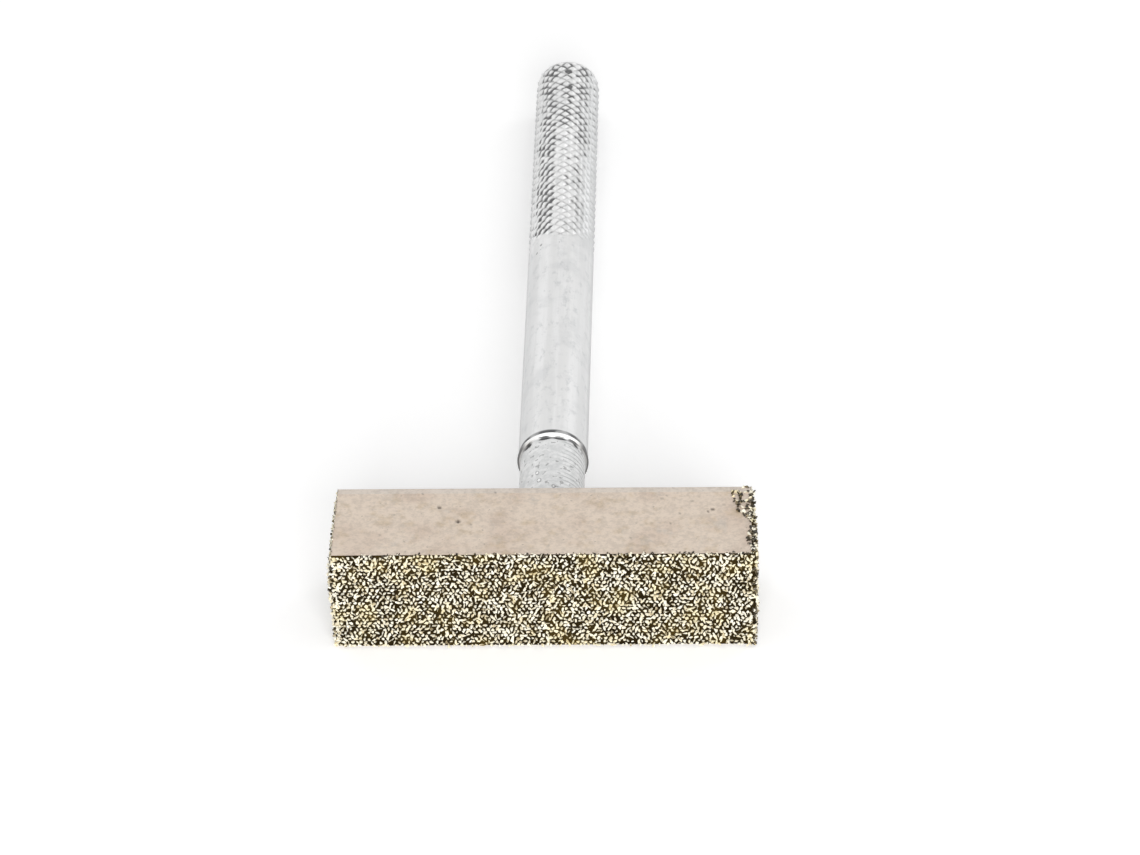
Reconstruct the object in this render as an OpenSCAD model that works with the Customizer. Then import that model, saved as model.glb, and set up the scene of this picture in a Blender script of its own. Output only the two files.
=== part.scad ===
// Diamond wheel dresser: a square steel bar faced with diamond grit, on a turned and knurled handle.
// +X runs along the bar, +Y out along the handle and +Z up.
// The origin is the middle of the bar's underside. All sizes are in millimetres.

/* [Bar] */
// length of the bare bar, end to end
bar_len = 44.4; // [34:0.2:60]
// depth of the bare bar, front to back
bar_depth = 12; // [10:0.2:20]
// height of the bar
bar_height = 12; // [10:0.2:20]
// bevel along the back edges of the bar
bar_bevel = 0.4; // [0.1:0.05:1]
// depth of the handle's bore, up to its drill point
bore_depth = 7.5; // [5:0.1:9]
// included angle of the drill point
drill_angle = 118; // [90:1:135]

/* [Grit] */
// thickness of the grit and its bond on the front and the ends
grit_thick = 0.4; // [0.2:0.05:1]
// bevel on the upright front corners of the grit
grit_corner = 0.35; // [0.1:0.05:0.8]
// bevel on the lower edges of the grit
grit_foot = 0.3; // [0.05:0.05:0.6]

/* [Handle] */
// length of the handle outside the bar
handle_len = 94.3; // [70:0.5:140]
// how far the handle's axis stands off the middle of the bar
handle_offset = 0.5; // [-3:0.1:3]
// diameter of the plain shank
shank_d = 7.7; // [6:0.1:9]
// diameter of the neck and of the spigot in the bore
neck_d = 7.2; // [4:0.1:7.4]
// length of the neck, from the bar to the shoulder
neck_len = 13; // [6:0.1:25]
// length of the sloping shoulder
shoulder_len = 0.2; // [0.1:0.05:1]
// how far the shoulder's lip stands out from the shank
lip_rise = 0.1; // [0.02:0.01:0.2]
// length over which the lip falls to the shank
lip_width = 0.4; // [0.1:0.05:1]
// bevel on the spigot's tip
spigot_bevel = 0.5; // [0.2:0.1:1]
// gap between the spigot's tip and the end of the bore
spigot_tip_gap = 0.5; // [0.1:0.1:2]
// gap between the spigot and the bore's wall
spigot_gap = 0.02; // [0.01:0.01:0.2]

/* [Knurl] */
// length of the knurled grip at the far end
knurl_len = 40.4; // [15:0.2:60]
// how far the crests stand out from the shank
knurl_rise = 0.06; // [0.02:0.01:0.2]
// depth of the grooves, from crest to root
knurl_depth = 0.3; // [0.1:0.02:0.4]
// diamonds in one turn
knurl_count = 17; // [12:1:24]
// distance from diamond to diamond along the handle
knurl_pitch = 1.2; // [0.8:0.05:2]
// bevel round the far end
end_bevel = 0.5; // [0.1:0.05:1]

/* [Hidden] */
$fn = 96;
over = 1;
shank_r = shank_d / 2;
neck_r = neck_d / 2;
bore_r = neck_r + spigot_gap;
axis_height = bar_height / 2;
spigot_len = bore_depth - spigot_tip_gap;
lip_r = shank_r + lip_rise;
lip_start = neck_len + shoulder_len;
lip_end = lip_start + lip_width;
crest_r = shank_r + knurl_rise;
root_r = crest_r - knurl_depth;
core_r = root_r - 0.4;
knurl_start = handle_len - knurl_len;
run_in = knurl_pitch / 4;
knurl_rows = max(4, round((knurl_len + run_in) / (knurl_pitch / 2)));
row_step = (knurl_len + run_in) / knurl_rows;
row_points = 2 * knurl_count;

// Side view of the bar, with its front drawn out by a given length: first figure front to back, second up.
module bar_side(front_extra) {
    back = bar_depth / 2;
    polygon([
        [-back - front_extra, 0],
        [back - bar_bevel, 0],
        [back, bar_bevel],
        [back, bar_height - bar_bevel],
        [back - bar_bevel, bar_height],
        [-back - front_extra, bar_height]
    ]);
}

// A side view carried along the bar's length, centred on the origin.
module along_bar(len) {
    rotate([90, 0, 90])
    translate([0, 0, -len / 2])
    linear_extrude(len)
    children();
}

// Moves a shape built upright on its axis to the handle's place, with zero height at the bar's back face.
module on_handle_axis() {
    translate([handle_offset, bar_depth / 2, axis_height])
    rotate([-90, 0, 0])
    children();
}

// Blind hole for the handle's spigot, with the cone its drill leaves.
module spigot_bore() {
    translate([0, 0, -bore_depth])
    cylinder(h = bore_depth + over, r = bore_r);
    tip = bore_r / tan(drill_angle / 2);
    translate([0, 0, -bore_depth - tip])
    cylinder(h = tip, r1 = 0, r2 = bore_r);
}

// Square steel bar, bored from the back.
module head_bar() {
    color([0.84, 0.78, 0.71])
    difference() {
        along_bar(bar_len) bar_side(0);
        on_handle_axis() spigot_bore();
    }
}

// Plan of the grit: a band round the front and the two ends of the bar, open past the back.
module grit_plan() {
    half = bar_len / 2;
    back = bar_depth / 2;
    front = -back - grit_thick;
    polygon([
        [half, back + over],
        [half, -back],
        [-half, -back],
        [-half, back + over],
        [-half - grit_thick, back + over],
        [-half - grit_thick, front + grit_corner],
        [-half - grit_thick + grit_corner, front],
        [half + grit_thick - grit_corner, front],
        [half + grit_thick, front + grit_corner],
        [half + grit_thick, back + over]
    ]);
}

// Side view of the grit: the bar's own, drawn out past the front, with the lower front edge taken off.
module grit_side() {
    front = -bar_depth / 2 - grit_thick;
    difference() {
        bar_side(grit_thick + over);
        polygon([
            [front - 3 * over, grit_foot + 3 * over],
            [front - 3 * over, -over],
            [front + grit_foot + over, -over]
        ]);
    }
}

// Front view of the grit, wide and tall to spare, with the lower corners taken off.
module grit_front() {
    half = bar_len / 2 + grit_thick;
    polygon([
        [-half + grit_foot + over, -over],
        [half - grit_foot - over, -over],
        [half + over, grit_foot + over],
        [half + over, bar_height + over],
        [-half - over, bar_height + over],
        [-half - over, grit_foot + over]
    ]);
}

// Grit bonded to the bar: what its plan, side view and front view have in common.
module diamond_grit() {
    color([0.45, 0.42, 0.33])
    intersection() {
        translate([0, 0, -over]) linear_extrude(bar_height + 2 * over) grit_plan();
        along_bar(bar_len + 2 * grit_thick + 2 * over) grit_side();
        rotate([90, 0, 0])
        linear_extrude(2 * bar_depth, center = true)
        grit_front();
    }
}

// Radius of one knurl point: roots and crests take turns along and across the rows.
function knurl_r(row, i) =
    row == 0 ? root_r - 0.15 :
    row == knurl_rows ? crest_r - end_bevel :
    (row + i) % 2 == 0 ? root_r : crest_r;

// Place of one knurl point in the list of points.
function at(row, i) = row * row_points + i % row_points;

// The two triangles of one knurl cell, parted along its groove.
function knurl_cell(row, i) = let(
    a = at(row, i),
    b = at(row + 1, i),
    c = at(row + 1, i + 1),
    d = at(row, i + 1)
) (row + i) % 2 == 0 ? [[a, b, c], [a, c, d]] : [[a, b, d], [b, c, d]];

// Diamond knurl: two crossing sets of spiral grooves leave rows of four-sided points.
module knurl() {
    points = [
        for (row = [0 : knurl_rows], i = [0 : row_points - 1])
            let(r = knurl_r(row, i), turn = 360 * i / row_points)
            [r * cos(turn), r * sin(turn), knurl_start - run_in + row * row_step]
    ];
    sides = [
        for (row = [0 : knurl_rows - 1], i = [0 : row_points - 1])
            each knurl_cell(row, i)
    ];
    near_cap = [for (i = [0 : row_points - 1]) at(0, i)];
    far_cap = [for (i = [row_points - 1 : -1 : 0]) at(knurl_rows, i)];
    polyhedron(points = points, faces = concat(sides, [near_cap, far_cap]), convexity = 6);
}

// Turned part of the handle: spigot, neck, shoulder, lip, shank and the core inside the knurl.
module turned() {
    rotate_extrude()
    polygon([
        [0, -spigot_len],
        [neck_r - spigot_bevel, -spigot_len],
        [neck_r, -spigot_len + spigot_bevel],
        [neck_r, neck_len],
        [lip_r, lip_start],
        [shank_r, lip_end],
        [shank_r, knurl_start],
        [core_r, knurl_start + run_in + knurl_pitch / 3],
        [core_r, handle_len - 2 * end_bevel - row_step],
        [0, handle_len - 2 * end_bevel - row_step]
    ]);
}

// Handle turned from one steel rod and knurled at its far end.
module handle() {
    color([0.76, 0.77, 0.77])
    on_handle_axis() {
        turned();
        knurl();
    }
}

head_bar();
diamond_grit();
handle();
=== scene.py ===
import math
import bmesh
import bpy
import numpy as np
from mathutils import Matrix, Vector


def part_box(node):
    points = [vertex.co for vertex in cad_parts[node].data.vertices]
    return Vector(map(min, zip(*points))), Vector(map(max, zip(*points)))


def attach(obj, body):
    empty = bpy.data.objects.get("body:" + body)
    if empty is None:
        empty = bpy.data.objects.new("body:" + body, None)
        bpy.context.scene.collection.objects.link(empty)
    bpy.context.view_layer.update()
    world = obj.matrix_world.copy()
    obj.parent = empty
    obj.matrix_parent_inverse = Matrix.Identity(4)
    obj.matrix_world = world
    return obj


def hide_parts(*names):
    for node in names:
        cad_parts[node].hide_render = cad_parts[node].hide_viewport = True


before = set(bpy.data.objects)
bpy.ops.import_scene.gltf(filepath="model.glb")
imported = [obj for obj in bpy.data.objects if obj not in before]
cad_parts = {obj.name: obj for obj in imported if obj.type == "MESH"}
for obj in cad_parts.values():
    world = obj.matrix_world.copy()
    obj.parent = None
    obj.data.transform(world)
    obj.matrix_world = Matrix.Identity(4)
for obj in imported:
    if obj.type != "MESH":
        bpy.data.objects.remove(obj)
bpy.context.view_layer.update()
mm = 0.001

# places taken from the frame, all in metres
barLow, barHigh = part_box("head_bar")
handleLow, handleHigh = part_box("handle")
axisX = (handleLow.x + handleHigh.x) / 2
axisZ = (handleLow.z + handleHigh.z) / 2
barBack = barHigh.y
barTop = barHigh.z
barDepth = barBack - barLow.y
barWidth = barHigh.x - barLow.x
barHeight = barTop - barLow.z
handleLength = handleHigh.y - barBack
print("frame loaded:", sorted(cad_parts))


# small tools for meshes

noiseCells = 32   # cells along each axis before the noise repeats


# soft noise from -1 to 1, with swells of about the given size
def softNoise(points, size, seed):
    lattice = np.random.default_rng(seed).random((noiseCells, noiseCells, noiseCells)) * 2 - 1
    spot = np.asarray(points, float) / size
    cell = np.floor(spot).astype(int)
    part = spot - cell
    part = part * part * (3 - 2 * part)
    total = np.zeros(len(spot))
    for corner in np.ndindex(2, 2, 2):
        weight = np.ones(len(spot))
        for axis, step in enumerate(corner):
            weight = weight * (part[:, axis] if step else 1 - part[:, axis])
        x, y, z = ((cell + corner) % noiseCells).T
        total += weight * lattice[x, y, z]
    return total


def smoothStep(low, high, value):
    t = np.clip((value - low) / (high - low), 0, 1)
    return t * t * (3 - 2 * t)


# a closed piece gets all its faces turned outward
def makePiece(name, points, faces, smooth=True, closed=True):
    mesh = bpy.data.meshes.new(name)
    mesh.from_pydata(np.asarray(points, float).tolist(), [], faces)
    mesh.validate()
    if closed:
        shell = bmesh.new()
        shell.from_mesh(mesh)
        bmesh.ops.recalc_face_normals(shell, faces=shell.faces)
        shell.to_mesh(mesh)
        shell.free()
    mesh.update()
    mesh.polygons.foreach_set("use_smooth", [smooth] * len(mesh.polygons))
    piece = bpy.data.objects.new(name, mesh)
    bpy.context.scene.collection.objects.link(piece)
    return piece


def addAttribute(piece, name, values, domain="POINT"):
    layer = piece.data.attributes.new(name, "FLOAT", domain)
    layer.data.foreach_set("value", np.asarray(values, np.float32))


def gridFaces(rows, columns, closed=False):
    faces = []
    last = columns if closed else columns - 1
    for row in range(rows - 1):
        for column in range(last):
            a = row * columns + column
            b = row * columns + (column + 1) % columns
            faces.append((a, b, b + columns, a + columns))
    return faces


def settle(piece, node, material):
    piece.data.materials.append(material)
    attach(piece, "root")
    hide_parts(node)


# shader sockets that take plain arithmetic

class Value:
    def __init__(self, paint, socket):
        self.paint = paint
        self.socket = socket

    def __add__(self, other):
        return self.paint.maths("ADD", self, other)

    def __radd__(self, other):
        return self.paint.maths("ADD", other, self)

    def __sub__(self, other):
        return self.paint.maths("SUBTRACT", self, other)

    def __rsub__(self, other):
        return self.paint.maths("SUBTRACT", other, self)

    def __mul__(self, other):
        return self.paint.maths("MULTIPLY", self, other)

    def __rmul__(self, other):
        return self.paint.maths("MULTIPLY", other, self)


# a node in its tree, asked for its outputs by name or number
class Placed:
    def __init__(self, paint, node):
        self.paint = paint
        self.node = node

    def out(self, key):
        return Value(self.paint, self.node.outputs[key])


class Paint:
    def __init__(self, name, owner=None):
        self.block = owner or bpy.data.materials.new(name)
        self.block.use_nodes = True
        self.tree = self.block.node_tree
        self.tree.nodes.clear()

    # settings go on first, then the sockets' values or links
    def node(self, kind, settings=None, sockets=None):
        node = self.tree.nodes.new(kind)
        for key, value in (settings or {}).items():
            if key == "stops":
                ramp = node.color_ramp
                while len(ramp.elements) < len(value):
                    ramp.elements.new(0.5)
                for stop, (place, tint) in zip(ramp.elements, value):
                    stop.position = place
                    stop.color = (*tint, 1)
            else:
                setattr(node, key, value)
        for key, value in (sockets or {}).items():
            if isinstance(value, Value):
                self.tree.links.new(value.socket, node.inputs[key])
            else:
                node.inputs[key].default_value = value
        return Placed(self, node)

    def maths(self, operation, *values):
        return self.node("ShaderNodeMath", {"operation": operation}, dict(enumerate(values))).out(0)

    # sockets 6 and 7 are the colours to mix, and output 2 is the mixed one
    def mixTint(self, share, a, b, blend="MIX"):
        settings = {"data_type": "RGBA", "blend_type": blend, "clamp_factor": True}
        under, over = (tint if isinstance(tint, Value) else (*tint, 1) for tint in (a, b))
        return self.node("ShaderNodeMix", settings, {0: share, 6: under, 7: over}).out(2)

    # rises from 0 at low to 1 at high; falls where low is the larger
    def band(self, value, low, high):
        sockets = {"Value": value, "From Min": low, "From Max": high}
        return self.node("ShaderNodeMapRange", {"interpolation_type": "SMOOTHSTEP"}, sockets).out(0)

    # 1 from fullFrom to fullTo, and 0 before start and past end
    def between(self, value, start, fullFrom, fullTo, end):
        return self.band(value, start, fullFrom) * self.band(value, end, fullTo)

    def noise(self, where, scale, detail=2.0, roughness=0.5):
        sockets = {"Vector": where, "Scale": scale, "Detail": detail, "Roughness": roughness}
        return self.node("ShaderNodeTexNoise", None, sockets).out(0)

    # one tint over another where the noise is above a band
    def patches(self, where, a, b, scale, detail, roughness, low, high, share, blend="MIX"):
        mask = self.band(self.noise(where, scale, detail, roughness), low, high)
        return self.mixTint(mask * share, a, b, blend)

    def objectPlace(self):
        return self.node("ShaderNodeTexCoord").out("Object")

    def stretched(self, where, factors):
        return self.node("ShaderNodeVectorMath", {"operation": "MULTIPLY"}, {0: where, 1: factors}).out(0)

    def attribute(self, name):
        return self.node("ShaderNodeAttribute", {"attribute_name": name}).out("Fac")

    def bump(self, height, strength, distance):
        sockets = {"Height": height, "Strength": strength, "Distance": distance}
        return self.node("ShaderNodeBump", None, sockets).out(0)

    # 1 for rays from the camera and for what metal or glass shows, 0 for the rest
    def seen(self):
        path = self.node("ShaderNodeLightPath")
        share = path.out("Is Camera Ray")
        for kind in ("Is Glossy Ray", "Is Transmission Ray"):
            share = self.maths("MAXIMUM", share, path.out(kind))
        return share

    def surface(self, sockets):
        shader = self.node("ShaderNodeBsdfPrincipled", None, sockets)
        self.node("ShaderNodeOutputMaterial", None, {"Surface": shader.out(0)})
        return self.block


# plated head bar

barLook = {
    "frontRound": (0.06 * mm, 0.06 * mm),   # rounding along the front edges, in depth and in height
    "backRound": (0.8 * mm, 0.05 * mm),
    "roundPoints": 7,             # points round one edge
    "step": 0.2 * mm,             # spacing of the other points
    "waves": (                    # slow unevenness: height, size and seed
        (0.012 * mm, 5 * mm, 3), (0.006 * mm, 1.3 * mm, 4),
    ),
    "pits": (                     # place along the bar, place across it, radius and depth, in mm
        (-11.1, 2.5, 0.2, 0.12), (-9.0, 0.0, 0.25, 0.16), (-7.6, -0.6, 0.13, 0.05), (-3.3, 1.8, 0.12, 0.05),
        (-5.2, 5.2, 0.12, 0.06), (-13.0, 5.0, 0.12, 0.06), (18.1, 1.9, 0.18, 0.12), (17.6, 1.5, 0.14, 0.08),
        (9.4, -3.2, 0.11, 0.04), (3.0, 3.6, 0.1, 0.04), (-17.2, -2.4, 0.1, 0.04), (13.2, 4.4, 0.11, 0.04),
        (12.7, 3.9, 0.14, 0.07), (14.6, 1.2, 0.14, 0.05), (15.9, 3.4, 0.15, 0.06), (13.6, -0.6, 0.14, 0.05),
        (19.3, 2.7, 0.14, 0.06),
    ),
    "pitAcross": 0.65,            # below 1, pits are longer across the bar than along it
    "pitEdge": (0.3, 1.3),        # where a pit's floor ends and where its rim does, in radii
    "pitDark": 0.1,               # depth in mm from which a pit is fully dark
    "tan": (0.790, 0.675, 0.565),
    "pink": (0.720, 0.595, 0.492),
    "grey": (0.640, 0.600, 0.550),
    "strip": (0.740, 0.680, 0.620),
    "ochre": (0.640, 0.510, 0.360),
    "dark": (0.060, 0.045, 0.030),
    "patches": (                  # tint, then the noise's scale, detail and roughness, its band and the share
        ("pink", 160, 3, 0.5, 0.45, 0.65, 1.0),
        ("ochre", 620, 4, 0.6, 0.5, 0.7, 0.6),
        ("grey", 300, 5, 0.65, 0.58, 0.7, 0.35),
    ),
    "specks": (                   # the same, laid over the strip too
        ("dark", 1700, 3, 0.7, 0.38, 0.66, 0.16, "MULTIPLY"),
        ("dark", 2300, 1, 0.5, 0.74, 0.8, 0.35),
    ),
    "stripFrom": (1.02 * mm, 0.9 * mm),   # distances from the back where a pale strip starts and is full
    "stripShare": 0.6,
    "roughness": (0.54, 0.16),    # least, and what the broad patches add
    "metal": 0.25,
}


def barProfile(look):
    corners = ((-1, -1, 180), (1, -1, 270), (1, 1, 0), (-1, 1, 90))   # back or front, up or down, first angle
    path = []
    for back, up, turn in corners:
        long, high = look["backRound"] if back > 0 else look["frontRound"]
        y = barBack - long if back > 0 else barLow.y + long
        z = barTop - high if up > 0 else barLow.z + high
        for angle in np.radians(np.linspace(turn, turn + 90, look["roundPoints"])):
            path.append((y + long * math.cos(angle), z + high * math.sin(angle)))
    points = []
    for a, b in zip(path, path[1:] + path[:1]):
        count = max(1, round(math.dist(a, b) / look["step"]))
        points += [(a[0] + (b[0] - a[0]) * k / count, a[1] + (b[1] - a[1]) * k / count) for k in range(count)]
    return np.array(points)


def makeBar(look):
    profile = barProfile(look)
    columns = len(profile)
    places = np.linspace(barLow.x, barHigh.x, round(barWidth / look["step"]) + 1)
    points = np.array([(x, y, z) for x in places for y, z in profile])
    along = np.roll(profile, -1, 0) - np.roll(profile, 1, 0)
    normal = np.stack([along[:, 1], -along[:, 0]], 1)
    normal /= np.linalg.norm(normal, axis=1)[:, None]
    outward = np.tile(np.column_stack([np.zeros(columns), normal]), (len(places), 1))
    lift = np.zeros(len(points))
    for height, size, seed in look["waves"]:
        lift = lift + height * softNoise(points, size, seed)
    pitted = np.zeros(len(points))
    onTop = points[:, 2] > barTop - 0.02 * mm
    for x, y, radius, depth in look["pits"]:
        aside = look["pitAcross"] * (points[:, 1] - y * mm)
        away = np.hypot(points[:, 0] - x * mm, aside) / (radius * mm)
        hollow = np.where(onTop, 1 - smoothStep(*look["pitEdge"], away), 0)
        lift = lift - depth * mm * hollow
        pitted = np.maximum(pitted, hollow * min(1, depth / look["pitDark"]))
    points = points + outward * lift[:, None]
    faces = gridFaces(len(places), columns, closed=True)
    faces.append(tuple(range(columns)))
    faces.append(tuple(range((len(places) - 1) * columns, len(places) * columns)))
    piece = makePiece("headBar", points, faces)
    addAttribute(piece, "pit", pitted)
    return piece


def platedBarMaterial(look):
    paint = Paint("warmPlating")
    where = paint.objectPlace()
    tint = look["tan"]
    for name, *patch in look["patches"]:
        tint = paint.patches(where, tint, look[name], *patch)
    y = paint.node("ShaderNodeSeparateXYZ", None, {0: where}).out("Y")
    start, full = look["stripFrom"]
    strip = paint.band(y, barBack - start, barBack - full)
    tint = paint.mixTint(strip * look["stripShare"], tint, look["strip"])
    for name, *patch in look["specks"]:
        tint = paint.patches(where, tint, look[name], *patch)
    tint = paint.mixTint(paint.attribute("pit"), tint, look["dark"])
    least, more = look["roughness"]
    rough = least + more * paint.noise(where, 160, 3)
    grain = paint.noise(where, 3500, 3) + 0.5 * paint.noise(where, 900, 3)
    normal = paint.bump(grain, 0.12, 0.05 * mm)
    sockets = {"Base Color": tint, "Roughness": rough, "Metallic": look["metal"], "Normal": normal}
    return paint.surface(sockets)


bar = makeBar(barLook)
settle(bar, "head_bar", platedBarMaterial(barLook))
print("head bar:", len(bar.data.polygons), "faces")


# diamond grit round the front and the ends

# edges of the bar's top face, in mm
rightEdge = barHigh.x / mm
frontEdge = barLow.y / mm
backEdge = barBack / mm

gritLook = {
    "bond": 0.2 * mm,             # thickness of the nickel that holds the grains
    "bondStep": 0.22 * mm,        # spacing of its points
    "bondMean": 0.75,             # its mean share of that thickness
    "bondRipples": (              # and its unevenness: share, size and seed
        (0.2, 0.45 * mm, 11), (0.05, 1.4 * mm, 12),
    ),
    "bondLeast": 0.02 * mm,
    "leftBelly": 0.16 * mm,       # how much fuller or thinner the coat is on the ends
    "leftTop": 0.46 * mm,
    "rightFull": 0.26 * mm,
    "foot": 0.18 * mm,
    "spacing": 0.5 * mm,          # distance from grain to grain in a row
    "rowShare": 0.87,             # distance from row to row, as a share of that
    "jitter": 0.22,               # how far grains stray from their places, as a share of those distances
    "size": (0.21 * mm, 0.275 * mm),
    "fillSize": (0.09 * mm, 0.17 * mm),
    "fillShare": 0.12,            # small grains for each large one
    "uneven": 0.06,               # how far grains stand out or sink in, in mm
    "ledge": 5.4 * mm,            # length of the bare ledge under the top edge at the left
    "strays": (                   # grains on the top face: number, reach along and across, sizes, in mm
        (60, (rightEdge - 0.5, rightEdge + 0.25), (frontEdge, backEdge - 0.2), (0.16, 0.3)),
        (15, (rightEdge - 2.0, rightEdge - 1.1), (backEdge - 3.0, backEdge - 0.8), (0.2, 0.34)),
        (15, (rightEdge - 1.5, rightEdge - 0.5), (backEdge - 4.8, backEdge - 2.6), (0.2, 0.34)),
        (12, (rightEdge - 0.9, rightEdge), (backEdge - 6.5, backEdge - 4.2), (0.18, 0.32)),
        (5, (rightEdge - 0.9, rightEdge - 0.1), (backEdge - 0.3, backEdge), (0.16, 0.24)),
        (70, (rightEdge, rightEdge + 0.42), (frontEdge - 0.2, backEdge - 1.0), (0.13, 0.24)),
        (150, (-rightEdge + 2, rightEdge), (frontEdge - 0.3, frontEdge + 0.2), (0.11, 0.21)),
        (16, (-rightEdge - 0.05, -rightEdge + 0.08), (frontEdge, backEdge - 0.5), (0.06, 0.13)),
    ),
    "crystals": 14,               # different grain shapes
    "crystalCorners": 11,         # points that the hull of each is drawn round
    "stretch": ((1.0, 0.75, 0.75), (1.55, 1.05, 1.05)),   # least and greatest, along a grain and across it
    "paleness": 5.0,              # the higher, the fewer dark grains
    "darkOnEnds": 0.5,            # share of the grains on the ends that are dark
    "darkStrays": 0.62,           # and of those on the top face
    "facetSpread": 0.17,          # how far the facets of one grain differ in tone, as painted glints and painted shade
    "seed": 21,
    "stops": (
        (0.0, (0.020, 0.014, 0.006)), (0.15, (0.10, 0.075, 0.040)), (0.32, (0.35, 0.28, 0.155)),
        (0.5, (0.74, 0.64, 0.45)), (0.7, (0.96, 0.88, 0.68)), (1.0, (1.0, 0.97, 0.85)),
    ),
    # the bond is painted nearly black, as painted shade in the gaps between the grains
    "bondShadeTint": (0.007, 0.0045, 0.002),
    "bondPale": (0.036, 0.024, 0.007),
    "bondOchre": (0.130, 0.085, 0.020),
    "warmCast": (0.90, 0.81, 0.46),
    "warmPatch": (420, 4, 0.6, 0.42, 0.7),   # the noise's scale, detail and roughness, and its band
    "warmShare": 0.55,
    "ochreShare": 0.36,
}


# the way round the bar: left end, front and right end; both front corners lie on it
leftCorner = barDepth
rightCorner = barDepth + barWidth
wayLength = 2 * barDepth + barWidth


# places on the way round the bar, with their outward direction
def wayRound(distance):
    x = barLow.x + np.clip(distance - leftCorner, 0, barWidth)
    y = barLow.y + np.maximum(leftCorner - distance, 0) + np.maximum(distance - leftCorner - barWidth, 0)
    bend = 0.35 * mm
    first = smoothStep(leftCorner - bend, leftCorner + bend, distance)
    second = smoothStep(rightCorner - bend, rightCorner + bend, distance)
    outward = np.column_stack([first + second - 1, second - first])
    return np.column_stack([x, y]), outward / np.linalg.norm(outward, axis=1)[:, None]


# the ends are uneven: thin at their feet, fuller half way up, and the left one thin at its top
def coatSwell(look, distance, height):
    left = 1 - smoothStep(leftCorner - 0.2 * mm, leftCorner + 1.2 * mm, distance)
    right = smoothStep(rightCorner - 1.2 * mm, rightCorner, distance)
    towardsBack = smoothStep(rightCorner + 4 * mm, wayLength, distance)
    rise = (height - barLow.z) / barHeight
    foot = 1 - smoothStep(0.0, 0.35, rise)
    belly = smoothStep(0.3, 0.65, rise)
    top = smoothStep(0.8, 0.98, rise)
    atLeft = look["leftBelly"] * belly - look["foot"] * foot - look["leftTop"] * top
    atRight = look["rightFull"] * (1 - 1.6 * towardsBack) - 0.5 * look["foot"] * foot
    return left * atLeft + right * atRight


def bondSkin(look):
    aroundCorner = np.linspace(-0.34, 0.34, 9) * mm
    distance = np.linspace(0, wayLength, round(wayLength / look["bondStep"]))
    distance = np.sort(np.concatenate([distance, leftCorner + aroundCorner, rightCorner + aroundCorner]))
    place, outward = wayRound(distance)
    heights = np.linspace(barLow.z + 0.12 * mm, barTop - 0.04 * mm, round(barHeight / look["bondStep"]))
    levels = [(barLow.z, 0.0), (barLow.z, 0.35)]   # height, and share of the full thickness there
    levels += [(z, 1.0) for z in heights]
    levels += [(barTop, 0.55), (barTop, 0.0)]
    rows = []
    for z, share in levels:
        level = np.full(len(place), z)
        spot = np.column_stack([place, level])
        uneven = look["bondMean"]
        for part, size, seed in look["bondRipples"]:
            uneven = uneven + part * softNoise(spot, size, seed)
        thick = share * (look["bond"] * uneven + coatSwell(look, distance, level))
        if z > barTop - 0.7 * mm:
            thick = np.where(distance < leftCorner, 0.3 * thick, thick)   # thin under the left end's top edge
        thick = np.maximum(thick, look["bondLeast"] * share)
        rows.append(np.column_stack([place + outward * thick[:, None], level]))
    columns = len(distance)
    top = (len(rows) - 1) * columns
    faces = gridFaces(len(rows), columns)
    faces += [(top + k, top + k + 1, k + 1, k) for k in range(columns - 1)]   # the wall against the bar
    faces.append(tuple(range(0, top + 1, columns)))                           # and the two back ends
    faces.append(tuple(range(columns - 1, top + columns, columns)))
    return np.concatenate(rows), faces


def crystalShapes(look, rng):
    shapes = []
    count = look["crystalCorners"]
    for k in range(look["crystals"]):
        cluster = bmesh.new()
        spots = rng.normal(size=(count, 3))
        spots /= np.linalg.norm(spots, axis=1)[:, None]
        spots *= rng.uniform(0.85, 1.1, (count, 1)) * np.array((1.0, 0.85, 0.8))
        for spot in spots:
            cluster.verts.new(spot)
        bmesh.ops.convex_hull(cluster, input=cluster.verts)
        bmesh.ops.delete(cluster, geom=[v for v in cluster.verts if not v.link_faces], context="VERTS")
        bmesh.ops.triangulate(cluster, faces=cluster.faces)
        cluster.verts.index_update()
        corners = np.array([v.co for v in cluster.verts])
        shapes.append((corners, np.array([[v.index for v in face.verts] for face in cluster.faces])))
        cluster.free()
    return shapes


# a turn to any side, from a random quaternion
def turnMatrix(rng):
    q = rng.normal(size=4)
    w, x, y, z = q / np.linalg.norm(q)
    return np.array((
        (1 - 2 * (y * y + z * z), 2 * (x * y - z * w), 2 * (x * z + y * w)),
        (2 * (x * y + z * w), 1 - 2 * (x * x + z * z), 2 * (y * z - x * w)),
        (2 * (x * z - y * w), 2 * (y * z + x * w), 1 - 2 * (x * x + y * y)),
    ))


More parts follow.
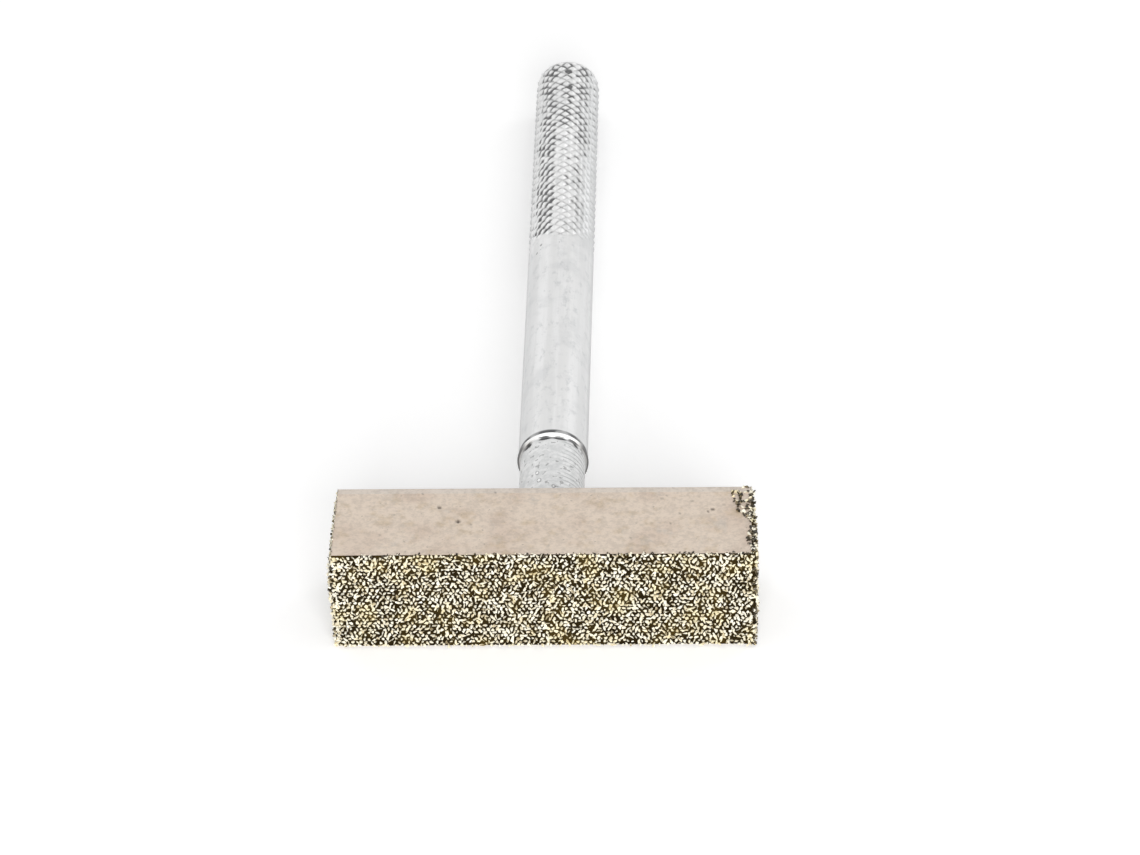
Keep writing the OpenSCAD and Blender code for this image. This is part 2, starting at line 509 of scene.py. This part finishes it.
# places and sizes of the grains in the coat
def gritPlaces(look, rng):
    gap = look["spacing"]
    rowGap = gap * look["rowShare"]
    jitter = look["jitter"]
    rows = int(barHeight / rowGap)
    count = int(wayLength / gap)
    grains = []
    for row in range(rows + 1):
        z = barLow.z + 0.16 * mm + row * (barHeight - 0.26 * mm) / rows
        along = (np.arange(count) + (row % 2) * 0.5) * gap + rng.uniform(-jitter, jitter, count) * gap
        along = np.clip(along, 0.1 * mm, wayLength - 0.1 * mm)
        height = z + rng.uniform(-jitter, jitter, count) * rowGap
        height = np.clip(height, barLow.z + 0.14 * mm, barTop - 0.02 * mm)
        grains.append(np.column_stack([along, height, rng.uniform(*look["size"], count)]))
    fill = int((rows + 1) * count * look["fillShare"])
    grains.append(np.column_stack([
        rng.uniform(0, wayLength, fill),
        rng.uniform(barLow.z + 0.1 * mm, barTop - 0.03 * mm, fill),
        rng.uniform(*look["fillSize"], fill),
    ]))
    inset = 0.16 * mm
    columns = (                   # more grains at the corners and the back edges: place, reach in mm, size
        (leftCorner, 0.4, 1), (rightCorner, 0.4, 1), (inset, 0.1, 0.7), (wayLength - inset, 0.1, 0.7),
    )
    for place, reach, share in columns:
        height = np.tile(np.arange(barLow.z + 0.2 * mm, barTop - 0.1 * mm, 0.3 * mm), 2)
        along = place + rng.uniform(-reach, reach, len(height)) * mm
        grains.append(np.column_stack([along, height, share * rng.uniform(*look["size"], len(height))]))
    along, height, size = np.concatenate(grains).T
    atLeft = along < leftCorner - 0.3 * mm
    height[atLeft] = np.minimum(height[atLeft], barTop - size[atLeft] - 0.02 * mm)
    place, outward = wayRound(along)
    ledge = (place[:, 0] < barLow.x + look["ledge"]) & (height > barTop - 0.45 * mm)
    height[ledge] -= 0.2 * mm
    out = rng.uniform(-look["uneven"], look["uneven"], len(along)) * mm
    out = look["bond"] + coatSwell(look, along, height) + out
    return np.column_stack([place + outward * out[:, None], height]), size


# grains that strayed onto the top face: along the right end, in its back corner, along the front and the left
def strayPlaces(look, rng):
    spots, sizes = [], []
    for count, x, y, size in look["strays"]:
        for k in range(count):
            spots.append((rng.uniform(*x) * mm, rng.uniform(*y) * mm, barTop + rng.uniform(-0.05, 0.05) * mm))
            sizes.append(rng.uniform(*size) * mm)
    return np.array(spots), np.array(sizes)


# tones run from 0, dark, to 1, pale; the bond has -1
def makeGrit(look):
    rng = np.random.default_rng(look["seed"])
    shapes = crystalShapes(look, rng)
    skinPoints, skinFaces = bondSkin(look)
    coat, coatSizes = gritPlaces(look, rng)
    strays, straySizes = strayPlaces(look, rng)
    darkShare = look["darkStrays"]
    strayTones = rng.choice((0.0, 0.9), len(strays), p=(darkShare, 1 - darkShare))
    coatTones = rng.beta(look["paleness"], 1.0, len(coat))
    onEnds = np.abs(coat[:, 0]) > barHigh.x + 0.05 * mm
    coatTones = np.where(onEnds & (rng.random(len(coat)) < look["darkOnEnds"]), 0.15 * coatTones, coatTones)
    spots = np.concatenate([coat, strays])
    sizes = np.concatenate([coatSizes, straySizes])
    toneOf = np.concatenate([coatTones, strayTones])
    points = [skinPoints]
    faces = list(skinFaces)
    tones = [np.full(len(skinFaces), -1.0)]
    start = len(skinPoints)
    for spot, size, tone in zip(spots, sizes, toneOf):
        corners, sides = shapes[rng.integers(len(shapes))]
        stretch = rng.uniform(*look["stretch"])
        points.append((corners * stretch) @ turnMatrix(rng).T * size + spot)
        faces += (sides + start).tolist()
        # a random tone for each facet stands in for the glints and shade on it
        tones.append(np.clip(tone + rng.normal(0, look["facetSpread"], len(sides)), 0, 1))
        start += len(corners)
    piece = makePiece("diamondGrit", np.concatenate(points), faces, smooth=False)
    addAttribute(piece, "tone", np.concatenate(tones), "FACE")
    return piece


def gritMaterial(look):
    paint = Paint("diamondGrains")
    where = paint.objectPlace()
    tone = paint.attribute("tone")
    cloud = paint.noise(where, 1500, 3)
    shade = tone + 0.3 * (cloud - 0.5)
    tint = paint.node("ShaderNodeValToRGB", {"stops": look["stops"]}, {"Fac": shade}).out(0)
    tint = paint.patches(where, tint, look["warmCast"], *look["warmPatch"], look["warmShare"], "MULTIPLY")
    normal = paint.bump(paint.noise(where, 6000, 2), 0.25, 0.02 * mm)
    grain = paint.node("ShaderNodeBsdfPrincipled", None, {
        "Base Color": tint, "Roughness": 0.2 + 0.15 * cloud, "Normal": normal, "IOR": 1.5})
    # the bond: painted shade between the grains, with ochre patches
    bondShadeTint = paint.mixTint(cloud, look["bondShadeTint"], look["bondPale"])
    bondShadeTint = paint.patches(where, bondShadeTint, look["bondOchre"], *look["warmPatch"], look["ochreShare"])
    bond = paint.node("ShaderNodeBsdfPrincipled", None, {
        "Base Color": bondShadeTint, "Roughness": 0.75, "Specular IOR Level": 0.02, "Normal": normal})
    isBond = paint.band(tone, -0.2, -0.6)
    both = paint.node("ShaderNodeMixShader", None, {0: isBond, 1: grain.out(0), 2: bond.out(0)})
    paint.node("ShaderNodeOutputMaterial", None, {"Surface": both.out(0)})
    return paint.block


grit = makeGrit(gritLook)
settle(grit, "diamond_grit", gritMaterial(gritLook))
print("diamond grit:", len(grit.data.polygons), "faces")


# turned and knurled handle; lengths along it start at the bar's back face

handleLook = {
    "spigot": -7.0 * mm,          # where the handle starts, inside the bar
    "spigotBevel": 0.5 * mm,
    "neckRadius": 3.6 * mm,
    "shoulderAt": 13.0 * mm,
    "shoulderLen": 0.2 * mm,
    "lipRise": 0.1 * mm,
    "lipFall": 0.4 * mm,
    "shankRadius": 3.85 * mm,
    "knurlAt": 53.9 * mm,
    "knurlRise": 0.06 * mm,
    "knurlDepth": 0.3 * mm,
    "knurlCount": 16,             # diamonds in one turn
    "knurlPitch": 1.47 * mm,      # and from one to the next along the handle
    "grooveSharp": 2.36,          # the higher, the narrower the grooves
    "lean": 0.4,                  # how far one set of grooves outdoes the other at the sides
    "shadeLean": 0.85,             # and how far its painted shade does
    "shadeLeft": 0.96,             # painted shade in the grooves at the left, at the right and on top
    "shadeRight": 0.62,
    "shadeTop": 0.58,
    "fade": 1.4 * mm,             # length over which the grooves run out
    "endBevel": 0.5 * mm,
    "blobs": (                    # drops of plating: place along, angle, length, width and height, in mm
        (6.45, 114, 0.4, 0.3, 0.06), (5.0, 110, 0.45, 0.35, 0.06),
        (3.6, 84, 0.35, 0.3, 0.05), (4.6, 70, 0.3, 0.3, 0.04),
    ),
    "nicks": (                    # and small hollows, with their depth, that get painted shade
        (91.9, 87, 0.9, 0.8, 0.17), (88.0, 86, 0.75, 0.85, 0.16), (12.75, 139, 0.42, 1.0, 0.17),
        (12.8, 103, 0.4, 1.15, 0.17), (12.8, 77, 0.38, 1.5, 0.15), (12.75, 42, 0.38, 0.7, 0.14),
    ),
    "blobFull": 0.06,             # height in mm of a drop that gets the full painted highlight
    "nickShadeFull": 0.12,             # and depth of a nick that gets the full painted shade
    "around": 192,                # points in one turn
    "plainStep": 0.6 * mm,        # spacing of the points along the shank, the neck and the knurl
    "neckStep": 0.2 * mm,
    "knurlStep": 0.125 * mm,
    "silver": (0.775, 0.775, 0.772),
    "pale": (0.84, 0.84, 0.84),
    # dull blotches, and painted shade on the shank's sides and the knurl's right
    "dullAndShade": (0.60, 0.61, 0.615),
    # painted shade at the outline; also the tint of the turning marks
    "side": (0.40, 0.405, 0.41),
    "neckTint": (0.645, 0.655, 0.652),
    # painted highlight on the shoulder face
    "bright": (0.93, 0.93, 0.93),
    # painted highlight on the drops of plating
    "drop": (0.97, 0.97, 0.97),
    "dark": (0.07, 0.07, 0.072),
    "ringPitch": 0.72 * mm,       # turning marks on the neck
    "metal": 0.55,
}


# places along the handle with their radius
def handleStations(look):
    neck = look["neckRadius"]
    shank = look["shankRadius"]
    crest = shank + look["lipRise"]
    shoulder = look["shoulderAt"]
    lip = shoulder + look["shoulderLen"]
    fall = lip + look["lipFall"]
    bevel = look["spigotBevel"]
    stations = [(look["spigot"], neck - bevel), (look["spigot"] + bevel, neck)]
    stations += [(s, neck) for s in np.arange(-0.4 * mm, shoulder - 0.1 * mm, look["neckStep"])]
    stations += [
        (shoulder - 0.03 * mm, neck - 0.015 * mm),
        (shoulder, neck),
        (shoulder + 0.02 * mm, neck + 0.12 * mm),
        (lip - 0.06 * mm, crest - 0.06 * mm),
        (lip, crest - 0.005 * mm),
        (lip + 0.06 * mm, crest),
        (lip + 0.13 * mm, crest - 0.04 * mm),
        (lip + 0.2 * mm, shank - 0.03 * mm),
        (lip + 0.3 * mm, shank - 0.03 * mm),
        (fall, shank),
    ]
    plainEnd = look["knurlAt"] - 2 * mm
    knurlEnd = handleLength - look["endBevel"]
    stations += [(s, shank) for s in np.arange(fall + look["plainStep"], plainEnd, look["plainStep"])]
    stations += [(s, shank) for s in np.arange(look["knurlAt"] - 1.4 * mm, knurlEnd, look["knurlStep"])]
    for share in (0.0, 0.2, 0.45, 0.7, 0.88, 1.0):
        bend = share * math.pi / 2
        drop = look["endBevel"] * (1 - math.cos(bend))
        stations.append((handleLength - look["endBevel"] * (1 - math.sin(bend)), shank - drop))
    for inset in (0.7, 1.4, 2.1, 2.8, 3.4):
        stations.append((handleLength, shank - inset * mm))
    return np.array(stations)


# two crossing sets of grooves, a little uneven, that run out towards the shank;
# gives how far each point moves in or out, and how much painted shade it gets
def knurl(look, s, angle, noise):
    first = look["knurlAt"]
    facing = np.cos(angle)        # 1 at the right, -1 at the left
    sideways = np.abs(facing)
    farPart = smoothStep(first + 16 * mm, first + 30 * mm, s)
    slip = 0.06 * noise(3.5, 31) + 0.07 * noise(1.1, 38)
    turns = look["knurlCount"] * angle / (2 * math.pi)
    ways = turns + s / look["knurlPitch"] + slip, turns - s / look["knurlPitch"] - slip
    grooves = [np.clip(1 - look["grooveSharp"] * np.abs(way - np.round(way)), 0, 1) for way in ways]
    tilt = facing * (1 - smoothStep(0.8, 1.0, sideways)) * smoothStep(-0.3, 0.3, np.sin(angle))

    def bite(lean):
        return np.minimum(np.maximum(grooves[0] * (1 - lean * tilt), grooves[1] * (1 + lean * tilt)), 1)

    worn = smoothStep(0.45, 0.8, facing) * (1 - smoothStep(first + 14 * mm, first + 22 * mm, s))
    press = (1 + 0.15 * noise(2.2, 32) + 0.4 * noise(0.6, 37)) * (1 - 0.4 * worn)
    start = first + (1.3 * sideways ** 2 - 0.3 + 0.9 * noise(1.3, 33)) * mm
    cut = smoothStep(start - 0.3 * mm, start + look["fade"] * (1 + sideways), s)
    cut = cut * (1 - smoothStep(handleLength - 0.45 * mm, handleLength - 0.1 * mm, s))
    cutBite = bite(look["lean"])
    move = cut * (look["knurlRise"] * (1 - 0.6 * cutBite) - look["knurlDepth"] * press * cutBite)

    # painted shade in the grooves: less of it towards the outline, and more on the far part at the right and
    # on top
    left = look["shadeLeft"] - 0.3 * smoothStep(0.7, 0.95, -facing)
    right = look["shadeRight"] + 0.22 * farPart - 0.16 * smoothStep(0.6, 0.9, facing)
    top = look["shadeTop"] + 0.26 * farPart
    shadeLevel = np.maximum(smoothStep(0.0, 0.45, -facing) * left, smoothStep(0.0, 0.45, facing) * right)
    shadeLevel = np.maximum(shadeLevel, (1 - smoothStep(0.1, 0.7, sideways)) * top)
    shadeLevel = shadeLevel * (1 + 0.1 * noise(1.6, 39) + 0.38 * noise(0.45, 40))
    dirt = cut * bite(look["shadeLean"] * (1 - 0.6 * farPart)) * np.clip(press, 0, 1.4) * shadeLevel
    return move, dirt


# small raised or sunken spots, each with its place along, its angle, its size and its height
def spotsOn(look, name, s, angle):
    total = np.zeros(s.shape)
    for along, degrees, long, wide, height in look[name]:
        aside = (angle - math.radians(degrees)) * look["shankRadius"]
        away = np.hypot((s - along * mm) / (long * mm), aside / (wide * mm))
        total = total + height * (1 - smoothStep(0.2, 1.0, away))
    return total


def makeHandle(look):
    stations = handleStations(look)
    turn = np.linspace(0, 2 * math.pi, look["around"], endpoint=False)
    s, angle = np.meshgrid(stations[:, 0], turn, indexing="ij")
    radius = np.repeat(stations[:, 1][:, None], look["around"], 1)
    x = np.cos(angle).ravel() * look["shankRadius"]
    z = np.sin(angle).ravel() * look["shankRadius"]
    place = np.column_stack([x, s.ravel(), z])

    def noise(size, seed, squeeze=1.0):
        return softNoise(place * (1, squeeze, 1), size * mm, seed).reshape(s.shape)

    move, dirt = knurl(look, s, angle, noise)
    blobs = spotsOn(look, "blobs", s, angle)
    nicks = spotsOn(look, "nicks", s, angle)
    onNeck = (1 - smoothStep(look["shoulderAt"] - 0.6 * mm, look["shoulderAt"], s)) * (s > 0)
    onEnd = s > handleLength - 0.01 * mm
    rough = onNeck * (0.010 * noise(0.9, 34) + 0.006 * noise(0.35, 35))
    rough = rough + 0.004 * noise(0.7, 36, 0.12) * ~onEnd
    radius = radius + move + (blobs - nicks + rough) * mm
    points = np.column_stack([
        (axisX + radius * np.cos(angle)).ravel(),
        (barBack + s).ravel(),
        (axisZ + radius * np.sin(angle)).ravel(),
    ])
    rows, around = s.shape
    faces = gridFaces(rows, around, closed=True)
    tips = [(axisX, barBack + stations[0, 0], axisZ), (axisX, barBack + handleLength, axisZ)]
    nearTip = len(points)
    farTip = nearTip + 1
    for k in range(around):
        after = (k + 1) % around
        faces.append((nearTip, after, k))
        faces.append((farTip, (rows - 1) * around + k, (rows - 1) * around + after))
    piece = makePiece("knurledHandle", np.concatenate([points, tips]), faces)
    # painted shade in the nicks, darker where they are deeper, joins that in the grooves
    dirt = np.maximum(dirt, nicks / look["nickShadeFull"])
    addAttribute(piece, "dirt", np.append(dirt.ravel(), (0, 0)))
    addAttribute(piece, "blob", np.append((blobs / look["blobFull"]).ravel(), (0, 0)))
    return piece


def platedHandleMaterial(look):
    paint = Paint("silverPlating")
    where = paint.objectPlace()
    spread = paint.node("ShaderNodeSeparateXYZ", None, {0: where})
    along = spread.out("Y") - barBack
    rightward = spread.out("X") - axisX
    across = paint.maths("ABSOLUTE", rightward)
    radius = look["shankRadius"]
    knurlAt = look["knurlAt"]
    shoulder = look["shoulderAt"]
    crest = shoulder + look["shoulderLen"] + 0.1 * mm

    # plating, with dull blotches and specks
    streaks = paint.noise(paint.stretched(where, (1, 0.05, 1)), 900, 4, 0.6)
    blotch = paint.noise(where, 240, 4, 0.6)
    tint = paint.mixTint(paint.band(streaks, 0.42, 0.66), look["silver"], look["pale"])
    tint = paint.mixTint(paint.band(blotch, 0.5, 0.7) * 0.4, tint, look["dullAndShade"])
    longer = paint.stretched(where, (1, 0.5, 1))
    tint = paint.patches(longer, tint, look["dullAndShade"], 1100, 4, 0.7, 0.5, 0.72, 0.75)

    # painted shade: darker near the outline, towards the shank's sides and on the knurl's right; and specks
    # where the knurl runs out
    side = paint.band(across, radius - 0.3 * mm, radius - 0.02 * mm)
    tint = paint.mixTint(side * 0.5, tint, look["side"])
    plain = paint.band(along, knurlAt, knurlAt - 2 * mm)
    shankSides = 0.25 * paint.band(across, 1.2 * mm, 3.4 * mm) * plain
    knurlRight = 0.6 * paint.band(rightward, 1.0 * mm, 3.0 * mm) * (1 - plain)
    tint = paint.mixTint(shankSides + knurlRight, tint, look["dullAndShade"])
    runOut = paint.band(along, knurlAt - 5 * mm, knurlAt) * paint.band(rightward, 1.2 * mm, -1.0 * mm) * plain
    tint = paint.patches(where, tint, look["dark"], 1300, 1, 0.5, 0.66, 0.74, runOut)

    # mottled neck
    isNeck = paint.band(along, shoulder + 0.1 * mm, shoulder - 0.1 * mm)
    neck = paint.patches(where, look["neckTint"], look["pale"], 1300, 4, 0.7, 0.36, 0.66, 1.0)
    neck = paint.patches(where, neck, look["dark"], 1700, 1, 0.5, 0.62, 0.7, 0.6)
    tint = paint.mixTint(isNeck * 0.8, tint, neck)

    # shoulder face with a painted highlight, painted shade in the broken seam below it and in a dark ridge
    # past the crest; at the sides the face takes painted shade instead
    lipSide = paint.band(across, 0.72 * radius, 0.9 * radius)
    broken = paint.band(paint.noise(where, 420, 2), 0.42, 0.56)
    foot = shoulder + 0.02 * mm
    rise = shoulder + 0.06 * mm
    seam = paint.between(along, shoulder - 0.36 * mm, shoulder - 0.16 * mm, foot, rise)
    face = paint.between(along, foot, rise, crest - 0.04 * mm, crest)
    ridge = paint.between(along, crest, crest + 0.06 * mm, crest + 0.5 * mm, crest + 0.8 * mm)
    tint = paint.mixTint(face, tint, paint.mixTint(lipSide * 0.85, look["bright"], look["dark"]))
    tint = paint.mixTint(seam * broken * (1 - 0.85 * lipSide), tint, look["dark"])
    tint = paint.mixTint(ridge * (0.5 + 0.45 * broken), tint, look["dark"])

    # turning marks on the right of the neck
    wave = paint.maths("SINE", (along + 0.25 * mm * blotch) * (2 * math.pi / look["ringPitch"]))
    rings = paint.band(wave, 0.2, 0.9) * paint.band(rightward, 0.6 * mm, 1.6 * mm) * isNeck
    tint = paint.mixTint(rings * (0.25 + 0.4 * broken), tint, look["side"])

    # drops of plating with a painted highlight inside a rim of painted shade, and painted shade in the
    # grooves and nicks
    blob = paint.attribute("blob")
    # painted shade in a rim round each drop, and a painted highlight on its top
    tint = paint.mixTint(paint.between(blob, 0.04, 0.25, 0.4, 0.75) * 0.55, tint, look["dark"])
    tint = paint.mixTint(paint.band(blob, 0.45, 0.8), tint, look["drop"])
    dirt = paint.band(paint.attribute("dirt"), 0.35, 0.9)
    tint = paint.mixTint(dirt * 0.9, tint, look["dark"])

    rough = 0.36 + 0.12 * blotch + 0.08 * isNeck
    turned = paint.noise(paint.stretched(where, (1, 14, 1)), 420, 3)
    fine = paint.noise(where, 1500, 3)
    normal = paint.bump(0.6 * streaks + 0.4 * turned + 0.4 * fine, 0.1, 0.05 * mm)
    sockets = {"Base Color": tint, "Roughness": rough, "Metallic": look["metal"], "Normal": normal}
    return paint.surface(sockets)


handle = makeHandle(handleLook)
settle(handle, "handle", platedHandleMaterial(handleLook))
print("handle:", len(handle.data.polygons), "faces")


# floor: the tool lies on the bar's lower back edge and on the far end of the handle

floorLook = {
    "half": 1.6,                  # half its width
    "nearInset": 0.35 * mm,       # the two places where the tool touches it, from the bar's back
    "farInset": 0.5 * mm,         # and from the handle's far end
    "gap": 0.01 * mm,             # space left under the tool
    "white": (0.90, 0.90, 0.90),
    "glow": 0.32,
}


def makeFloor(look):
    near = Vector((0, barBack - look["nearInset"], barLow.z))
    gripRadius = handleLook["shankRadius"] + handleLook["knurlRise"]
    far = Vector((0, handleHigh.y - look["farInset"], axisZ - gripRadius))
    slope = (far.z - near.z) / (far.y - near.y)
    half = look["half"]
    points = []
    for y in (-half, half):
        for x in (-half, half):
            points.append((x, y, near.z + slope * (y - near.y) - look["gap"]))
    floor = makePiece("floor", points, [(0, 1, 3, 2)], smooth=False, closed=False)
    paint = Paint("paleFloor")
    matte = paint.node("ShaderNodeBsdfDiffuse", None, {"Color": (*look["white"], 1)}).out(0)
    glow = paint.node("ShaderNodeEmission", None, {"Color": (1, 1, 1, 1), "Strength": look["glow"]}).out(0)
    bright = paint.node("ShaderNodeAddShader", None, {0: matte, 1: glow}).out(0)
    shown = paint.node("ShaderNodeMixShader", None, {0: paint.seen(), 1: matte, 2: bright}).out(0)
    paint.node("ShaderNodeOutputMaterial", None, {"Surface": shown})
    floor.data.materials.append(paint.block)


makeFloor(floorLook)
print("floor laid")


# soft studio light

lightLook = {
    "sky": 0.5,                   # even light from all round
    "shownSky": 1.0,              # what the camera sees of it
    "lamps": (                    # name, place, aim, size and strength in watts
        ("leftBack", (-0.55, 0.50, 0.45), (0.0, 0.05, 0.01), 0.35, 0.35),
        ("rightBack", (0.60, 0.45, 0.55), (0.0, 0.05, 0.01), 0.35, 0.6),
        ("frontFill", (0.12, -0.95, 0.40), (0.0, 0.02, 0.01), 0.60, 8.6),
    ),
}


def makeLight(look):
    world = bpy.data.worlds.new("studio")
    bpy.context.scene.world = world
    paint = Paint("studio", world)
    white = (1, 1, 1, 1)
    sky = paint.node("ShaderNodeBackground", None, {"Color": white, "Strength": look["sky"]}).out(0)
    bright = paint.node("ShaderNodeBackground", None, {"Color": white, "Strength": look["shownSky"]}).out(0)
    shown = paint.node("ShaderNodeMixShader", None, {0: paint.seen(), 1: sky, 2: bright}).out(0)
    paint.node("ShaderNodeOutputWorld", None, {"Surface": shown})
    for name, place, aim, size, watts in look["lamps"]:
        lamp = bpy.data.lights.new(name, "AREA")
        lamp.size = size
        lamp.energy = watts
        stand = bpy.data.objects.new(name, lamp)
        stand.location = place
        stand.rotation_euler = (Vector(aim) - Vector(place)).to_track_quat("-Z", "Y").to_euler()
        bpy.context.scene.collection.objects.link(stand)


makeLight(lightLook)
print("lights set")


# camera at the photograph's viewing angle

cameraLook = {
    "place": (0.01725, -0.38321, 0.29268),
    "pitch": 35.01,               # degrees below level
    "heading": 2.10,              # degrees to the left of the handle's direction
    "roll": -1.61,
    "focal": 4467.6,              # in pixels of a frame 1140 wide
    "frameWidth": 1140,
    "sensor": 36,                 # in millimetres
}


def makeCamera(look):
    lens = bpy.data.cameras.new("photoCamera")
    lens.sensor_fit = "HORIZONTAL"
    lens.sensor_width = look["sensor"]
    lens.lens = look["sensor"] * look["focal"] / look["frameWidth"]
    lens.clip_start = 0.01
    lens.clip_end = 20
    camera = bpy.data.objects.new("photoCamera", lens)
    turn = Matrix.Rotation(math.radians(look["heading"]), 4, "Z")
    tilt = Matrix.Rotation(math.radians(90 - look["pitch"]), 4, "X")
    roll = Matrix.Rotation(math.radians(look["roll"]), 4, "Z")
    camera.matrix_world = Matrix.Translation(look["place"]) @ turn @ tilt @ roll
    bpy.context.scene.collection.objects.link(camera)
    bpy.context.scene.camera = camera


makeCamera(cameraLook)
bpy.context.scene.view_settings.view_transform = "Standard"
print("camera set")

bpy.context.view_layer.update()
